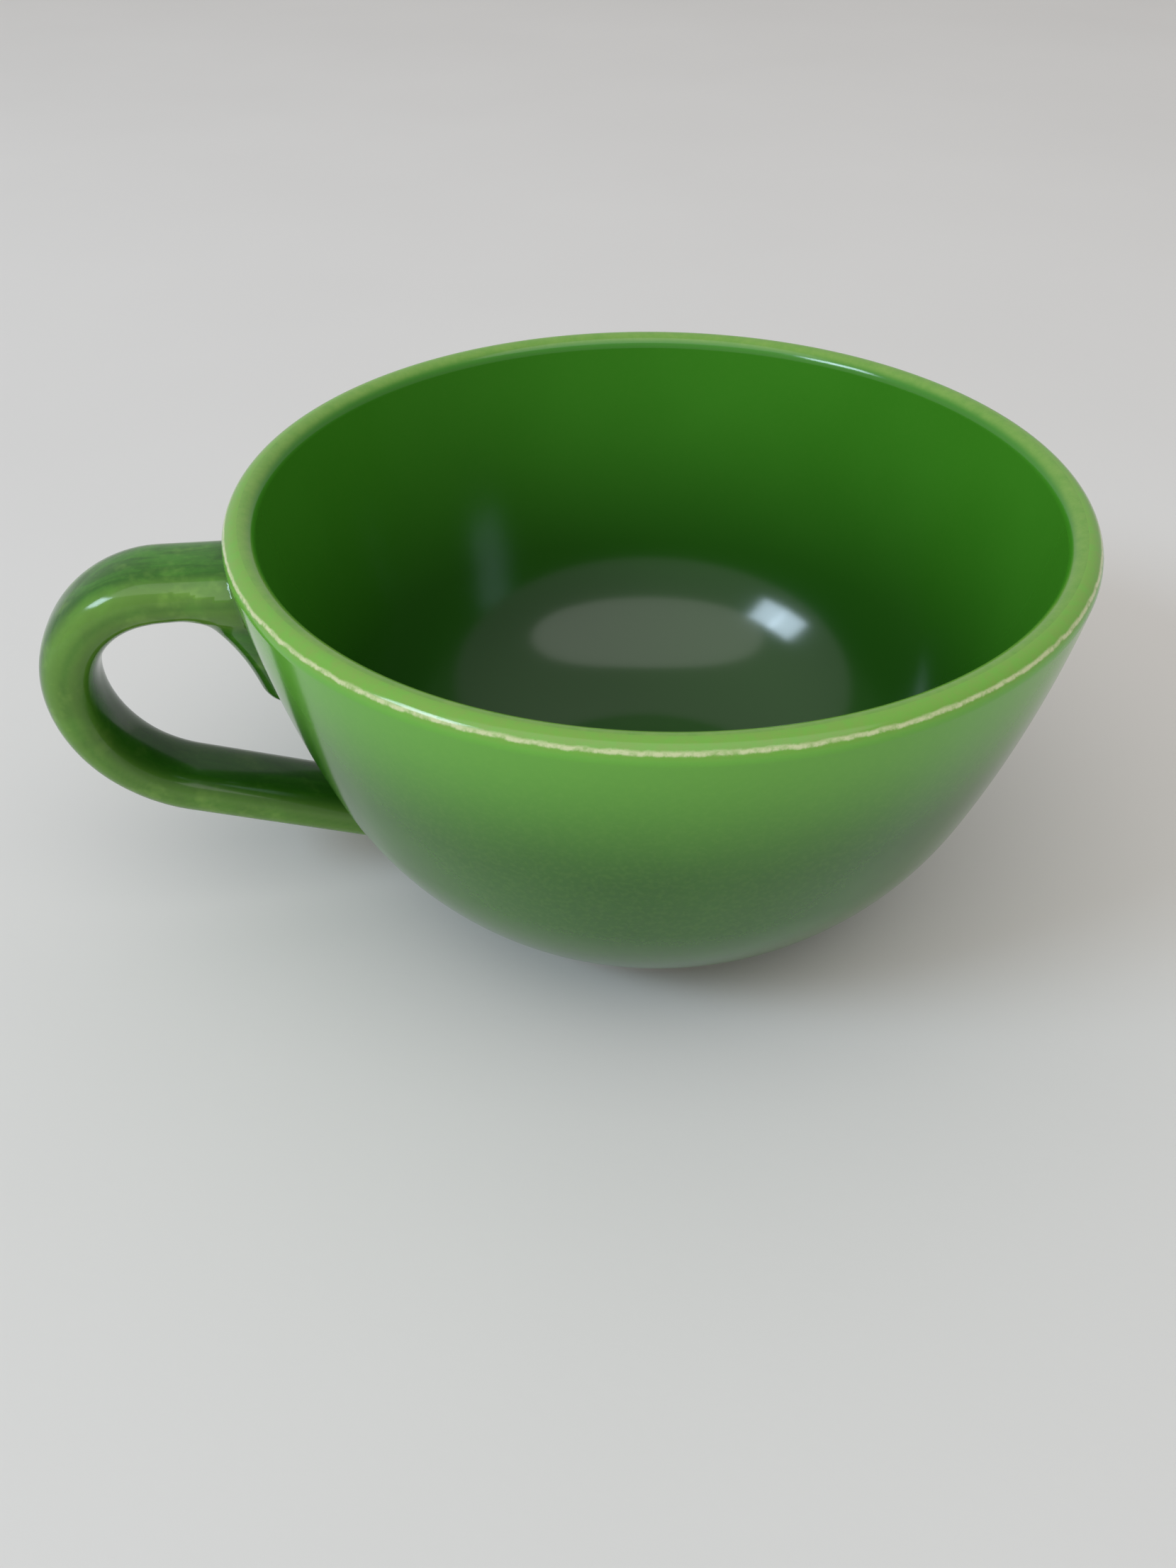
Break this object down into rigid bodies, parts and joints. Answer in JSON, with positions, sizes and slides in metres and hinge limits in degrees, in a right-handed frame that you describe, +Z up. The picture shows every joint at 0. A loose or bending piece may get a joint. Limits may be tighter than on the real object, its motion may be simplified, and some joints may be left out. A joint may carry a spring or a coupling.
{
  "type": "teacup",
  "caption": "Glazed round-bellied teacup with an ear handle, a rolled lip and a turned foot ring, for drinking tea.",
  "frame": {"origin": "on the bowl's axis, in the plane of the foot ring's land, where the cup stands", "axes": "+Z up the bowl's axis to the mouth, -X to the handle, Y across the handle"},
  "size_m": [0.1304, 0.105, 0.058],
  "materials": {
    "stoneware": "fired stoneware body under glaze",
    "bare_foot": "bare fired clay, wiped smooth",
    "slip": "fired luting slip",
    "outer_glaze": "glossy green glaze",
    "inner_glaze": "glossy deep green glaze",
    "handle_glaze": "glossy streaked green glaze"
  },
  "bodies": {
    "root": {"bowl_body": "stoneware", "foot_ring": "bare_foot", "foot_slip": "slip", "handle_body": "stoneware", "handle_upper_slip": "slip", "handle_lower_slip": "slip", "inner_glaze": "inner_glaze", "outer_glaze": "outer_glaze", "handle_glaze": "handle_glaze", "base_glaze": "outer_glaze"}
  },
  "joints": []
}
